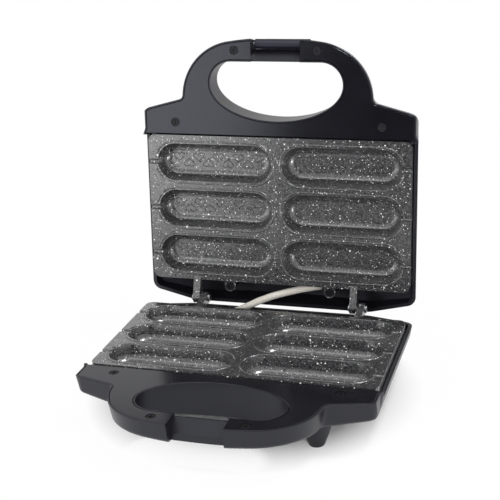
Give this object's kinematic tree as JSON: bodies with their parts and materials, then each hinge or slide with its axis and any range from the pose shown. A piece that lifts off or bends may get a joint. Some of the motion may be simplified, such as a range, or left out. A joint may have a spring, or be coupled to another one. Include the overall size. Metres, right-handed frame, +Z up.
{
  "type": "hot dog maker",
  "caption": "Electric hot dog maker: two hinged housings with loop handles, speckled cast plates with capsule-shaped cavities and stick grooves, and a swinging handle latch.",
  "frame": {"origin": "on the surface that the feet stand on, at the middle of the part's box with the lid open", "axes": "+X along the hinge to the right, +Y from the handle of the base to the back, +Z up"},
  "size_m": [0.2346, 0.2882, 0.2633],
  "materials": {
    "housing_plastic": "satin black moulded plastic",
    "cover_plastic": "semi-gloss black moulded plastic",
    "granite_coating": "grey speckled non-stick coating on cast aluminium",
    "latch_plastic": "satin black moulded plastic",
    "foot_plastic": "satin black moulded plastic",
    "black_screw": "blackened steel",
    "steel": "zinc-plated steel",
    "element_sheath": "heat-dulled steel sheath",
    "thermostat_body": "brown phenolic",
    "cutout_can": "plain aluminium can",
    "terminal_plastic": "cream heat-resistant plastic",
    "gland_rubber": "black rubber",
    "lead_sleeve": "cream fibreglass braid",
    "red_lens": "translucent red plastic",
    "green_lens": "translucent green plastic",
    "lamp_glass": "clear glass"
  },
  "bodies": {
    "base": {"base_housing": "housing_plastic", "base_handle_cover": "cover_plastic", "base_plate": "granite_coating", "base_heating_element": "element_sheath", "base_element_clamp": "steel", "base_clamp_screws": "steel", "thermal_cutout": "cutout_can", "terminal_block": "terminal_plastic", "cord_gland": "gland_rubber", "base_cover_screws": "black_screw", "base_plate_screws": "black_screw", "front_right_foot": "foot_plastic", "front_left_foot": "foot_plastic", "rear_right_foot": "foot_plastic", "rear_left_foot": "foot_plastic", "right_hinge_pin": "steel", "left_hinge_pin": "steel", "crossover_lead": "lead_sleeve"},
    "lid": {"lid_housing": "housing_plastic", "lid_handle_cover": "cover_plastic", "lid_plate": "granite_coating", "lid_heating_element": "element_sheath", "lid_element_clamp": "steel", "lid_clamp_screws": "steel", "thermostat": "thermostat_body", "power_lens": "red_lens", "ready_lens": "green_lens", "power_lamp": "lamp_glass", "ready_lamp": "lamp_glass", "lid_cover_screws": "black_screw", "lid_plate_screws": "black_screw", "latch_pin": "steel"},
    "latch": {"latch": "latch_plastic"}
  },
  "joints": [
    {"name": "lid_hinge", "type": "hinge", "parent": "base", "child": "lid", "pos_m": [0, 0.07952, 0.0415], "axis": [1, 0, 0], "range_deg": [0, 94.4], "deforming": ["crossover_lead"]},
    {"name": "latch_pivot", "type": "hinge", "parent": "lid", "child": "latch", "pos_m": [0, 0.10817, 0.25744], "axis": [1, 0, 0], "range_deg": [0, 192.5]}
  ]
}
